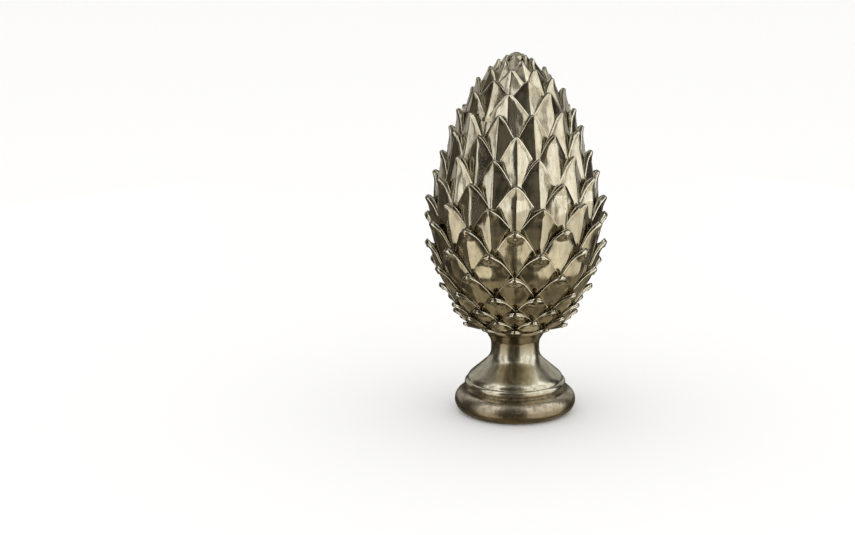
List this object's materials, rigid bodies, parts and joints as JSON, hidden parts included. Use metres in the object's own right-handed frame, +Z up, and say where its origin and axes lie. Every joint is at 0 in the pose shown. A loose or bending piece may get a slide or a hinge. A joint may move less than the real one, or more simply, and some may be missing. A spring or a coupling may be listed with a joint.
{
  "type": "artichoke finial ornament",
  "caption": "Upright artichoke ornament: an egg-shaped head of overlapping pointed leaves on a turned neck, bell and round foot.",
  "frame": {"origin": "centre of the flat underside, where the foot stands", "axes": "+Z up along the axis of the head and foot, -Y towards the front column of leaves"},
  "size_m": [0.2036, 0.2041, 0.4],
  "materials": {
    "aged_brass": "polished and antiqued, dark patina in the crevices, satin foot ring"
  },
  "bodies": {
    "root": {"artichoke_ornament": "aged_brass"}
  },
  "joints": []
}
